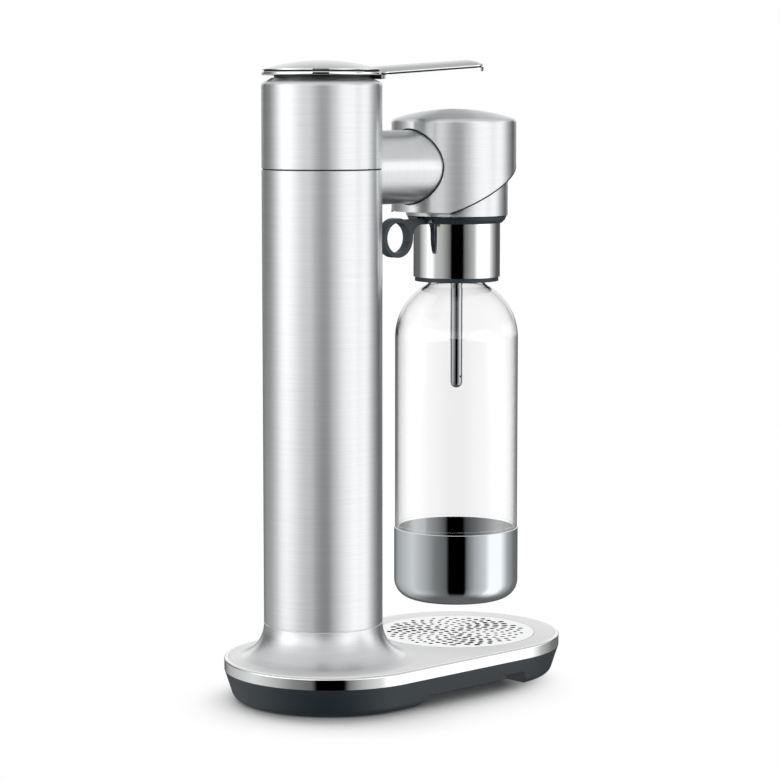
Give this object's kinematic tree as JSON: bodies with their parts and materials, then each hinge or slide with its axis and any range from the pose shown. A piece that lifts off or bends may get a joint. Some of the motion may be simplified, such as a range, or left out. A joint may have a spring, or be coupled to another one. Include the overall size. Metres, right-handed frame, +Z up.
{
  "type": "sparkling water maker",
  "caption": "Countertop lever carbonator: round column with a gas cylinder, arm and head over a clear bottle, drip tray in the base.",
  "frame": {"origin": "on the floor at the middle of the base's footprint", "axes": "+Z up, bottle towards -Y, column towards +Y, X to the side"},
  "size_m": [0.143, 0.258, 0.4216],
  "materials": {
    "slate_plastic": "moulded, fine matte",
    "satin_alloy": "cast and bead-blasted satin",
    "polished_steel": "mirror polished",
    "brushed_steel": "brushed round the axis",
    "plain_steel": "turned",
    "cast_alloy": "machined",
    "rubber": "moulded",
    "brass": "turned",
    "clear_plastic": "clear, blow moulded"
  },
  "bodies": {
    "base": {"base_skid": "slate_plastic", "base_deck": "satin_alloy", "tray_well": "slate_plastic", "edge_band": "polished_steel", "rubber_feet": "rubber", "base_screws": "plain_steel", "column_tube": "brushed_steel", "upper_sleeve": "brushed_steel", "seam_gasket": "rubber", "inner_frame": "cast_alloy", "valve_seal": "rubber", "valve_block": "cast_alloy", "return_spring": "plain_steel", "lever_bracket": "plain_steel", "lever_pin": "plain_steel", "lever_neck": "slate_plastic", "arm_tube": "brushed_steel", "arm_seal": "rubber", "gas_pipe": "plain_steel", "head_shell": "brushed_steel", "head_core": "brushed_steel", "head_socket": "slate_plastic", "head_seal": "rubber", "gas_nozzle": "brass"},
    "lever": {"lever": "satin_alloy"},
    "push_rod": {"push_rod": "plain_steel", "valve_pin": "plain_steel"},
    "cap": {"cap_body": "slate_plastic", "cap_collar": "polished_steel", "cap_base_ring": "slate_plastic", "cap_gasket": "rubber", "dip_tube": "plain_steel", "ring_pin": "plain_steel"},
    "release_ring": {"release_ring": "slate_plastic"},
    "bottle": {"bottle": "clear_plastic", "bottle_cup": "polished_steel"},
    "drip_tray": {"drip_cup": "slate_plastic"},
    "grille": {"drip_grille": "polished_steel"},
    "hatch": {"hatch_cover": "slate_plastic"},
    "gas_cylinder": {"co2_cylinder": "cast_alloy", "cylinder_valve": "brass"}
  },
  "joints": [
    {"name": "lever_press", "type": "hinge", "parent": "base", "child": "lever", "pos_m": [0, 0.087, 0.393], "axis": [1, 0, 0], "range_deg": [0, 3], "stiffness_Nm_per_rad": 6, "springref_deg": -8.59},
    {"name": "rod_push", "type": "slide", "parent": "base", "child": "push_rod", "axis": [0, 0, -1], "range_m": [0, 0.0012], "deforming": ["return_spring"]},
    {"name": "cap_drop", "type": "slide", "parent": "base", "child": "cap", "axis": [0, 0, -1], "range_m": [0, 0.011]},
    {"name": "bottle_twist", "type": "hinge", "parent": "cap", "child": "bottle", "pos_m": [0, -0.0575, 0.2], "axis": [0, 0, 1], "range_deg": [0, 180]},
    {"name": "ring_pull", "type": "hinge", "parent": "cap", "child": "release_ring", "pos_m": [0, -0.0265, 0.3136], "axis": [1, 0, 0], "range_deg": [0, 15]},
    {"name": "tray_lift", "type": "slide", "parent": "base", "child": "drip_tray", "axis": [0, 0, 1], "range_m": [0, 0.005]},
    {"name": "grille_lift", "type": "slide", "parent": "drip_tray", "child": "grille", "axis": [0, 0, 1], "range_m": [0, 0.005]},
    {"name": "hatch_twist", "type": "hinge", "parent": "base", "child": "hatch", "pos_m": [0, 0.065, 0.003], "axis": [0, 0, 1], "range_deg": [0, 45]},
    {"name": "cylinder_twist", "type": "hinge", "parent": "base", "child": "gas_cylinder", "pos_m": [0, 0.065, 0.2], "axis": [0, 0, 1], "range_deg": [0, 180]}
  ],
  "couplings": [
    {"joint": "rod_push", "follows": "lever_press", "m_per_rad": 0.022}
  ]
}
